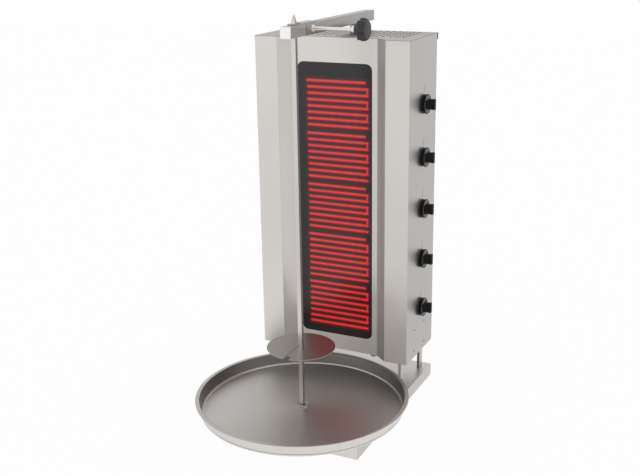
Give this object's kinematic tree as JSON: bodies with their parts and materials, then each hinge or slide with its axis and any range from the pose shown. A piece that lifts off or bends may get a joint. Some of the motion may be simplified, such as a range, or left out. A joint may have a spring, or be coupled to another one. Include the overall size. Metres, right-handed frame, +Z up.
{
  "type": "vertical electric kebab grill",
  "caption": "Upright electric grill: a turning spit with a meat disc over a round drip pan, before a tall cabinet with heating zones, side knobs and a clamped top arm.",
  "frame": {"origin": "centre of the overall box, on the floor that the feet stand on", "axes": "+Z up, -Y towards the user's side where the spit and pan stand, +X towards the side with the knobs"},
  "size_m": [0.6459, 0.85, 1.2205],
  "materials": {
    "steel": "satin brushed",
    "bright_steel": "bright",
    "dark_steel": "satin",
    "black_plastic": "matte",
    "rubber": "matte",
    "ceramic_glass": "polished black",
    "heating_band": "glowing",
    "insulation": "matte fibre",
    "white_plastic": "matte",
    "brass": "satin"
  },
  "bodies": {
    "stand": {"base_tray": "steel", "base_plate": "dark_steel", "rubber_feet": "rubber", "gearbox": "dark_steel", "motor": "dark_steel", "bearing_flange": "dark_steel", "pan_rests": "rubber", "posts_left": "steel", "posts_right": "steel", "cabinet_floor": "steel", "bracket_left": "dark_steel", "bracket_right": "dark_steel", "side_panel_left": "steel", "side_panel_right": "steel", "wing_left": "steel", "wing_right": "steel", "front_panel": "steel", "ceramic_sheet": "ceramic_glass", "heater_frame": "dark_steel", "insulation_boards": "insulation", "heater_1": "heating_band", "heater_2": "heating_band", "heater_3": "heating_band", "heater_4": "heating_band", "heater_5": "heating_band", "back_panel": "steel", "top_cover": "steel", "energy_regulators": "white_plastic", "knob_bezels": "black_plastic", "terminal_block": "white_plastic", "cable_gland": "black_plastic", "side_screws": "dark_steel", "thumb_screws": "dark_steel", "mast": "steel", "arm_tube": "steel", "clamp_boss": "bright_steel"},
    "drive": {"drive_shaft": "bright_steel", "drive_cup": "steel"},
    "spit": {"spit": "bright_steel", "disc_pin": "bright_steel"},
    "disc": {"meat_disc": "steel"},
    "pan": {"drip_pan": "steel"},
    "arm_slide": {"arm_bar": "steel", "arm_block": "bright_steel", "arm_strap": "steel"},
    "clamp_pad": {"clamp_pad": "brass"},
    "clamp_screw": {"clamp_screw": "bright_steel", "star_knob": "black_plastic"},
    "control_1": {"knob_1": "black_plastic", "spindle_1": "bright_steel"},
    "control_2": {"knob_2": "black_plastic", "spindle_2": "bright_steel"},
    "control_3": {"knob_3": "black_plastic", "spindle_3": "bright_steel"},
    "control_4": {"knob_4": "black_plastic", "spindle_4": "bright_steel"},
    "control_5": {"knob_5": "black_plastic", "spindle_5": "bright_steel"}
  },
  "joints": [
    {"name": "drive_spin", "type": "hinge", "parent": "stand", "child": "drive", "pos_m": [0, -0.102, 0.045], "axis": [0, 0, 1], "continuous": true},
    {"name": "spit_lift", "type": "slide", "parent": "drive", "child": "spit", "axis": [0, 0, 1], "range_m": [0, 0.04]},
    {"name": "disc_lift", "type": "slide", "parent": "spit", "child": "disc", "axis": [0, 0, 1], "range_m": [0, 0.3]},
    {"name": "pan_lift", "type": "slide", "parent": "stand", "child": "pan", "axis": [0, 0, 1], "range_m": [0, 0.03]},
    {"name": "arm_extend", "type": "slide", "parent": "stand", "child": "arm_slide", "axis": [0, -1, 0], "range_m": [0, 0.025]},
    {"name": "clamp_pad_slide", "type": "slide", "parent": "stand", "child": "clamp_pad", "axis": [1, 0, 0], "range_m": [0, 0.003]},
    {"name": "clamp_screw_turn", "type": "hinge", "parent": "clamp_pad", "child": "clamp_screw", "pos_m": [0.1, -0.025, 1.17574], "axis": [1, 0, 0], "range_deg": [0, 720]},
    {"name": "knob_1_turn", "type": "hinge", "parent": "stand", "child": "control_1", "pos_m": [0.25, 0.247, 0.935], "axis": [1, 0, 0], "range_deg": [0, 270]},
    {"name": "knob_2_turn", "type": "hinge", "parent": "stand", "child": "control_2", "pos_m": [0.25, 0.247, 0.7735], "axis": [1, 0, 0], "range_deg": [0, 270]},
    {"name": "knob_3_turn", "type": "hinge", "parent": "stand", "child": "control_3", "pos_m": [0.25, 0.247, 0.612], "axis": [1, 0, 0], "range_deg": [0, 270]},
    {"name": "knob_4_turn", "type": "hinge", "parent": "stand", "child": "control_4", "pos_m": [0.25, 0.247, 0.4505], "axis": [1, 0, 0], "range_deg": [0, 270]},
    {"name": "knob_5_turn", "type": "hinge", "parent": "stand", "child": "control_5", "pos_m": [0.25, 0.247, 0.289], "axis": [1, 0, 0], "range_deg": [0, 270]}
  ],
  "couplings": [
    {"joint": "clamp_pad_slide", "follows": "clamp_screw_turn", "m_per_rad": 0.00023873}
  ]
}
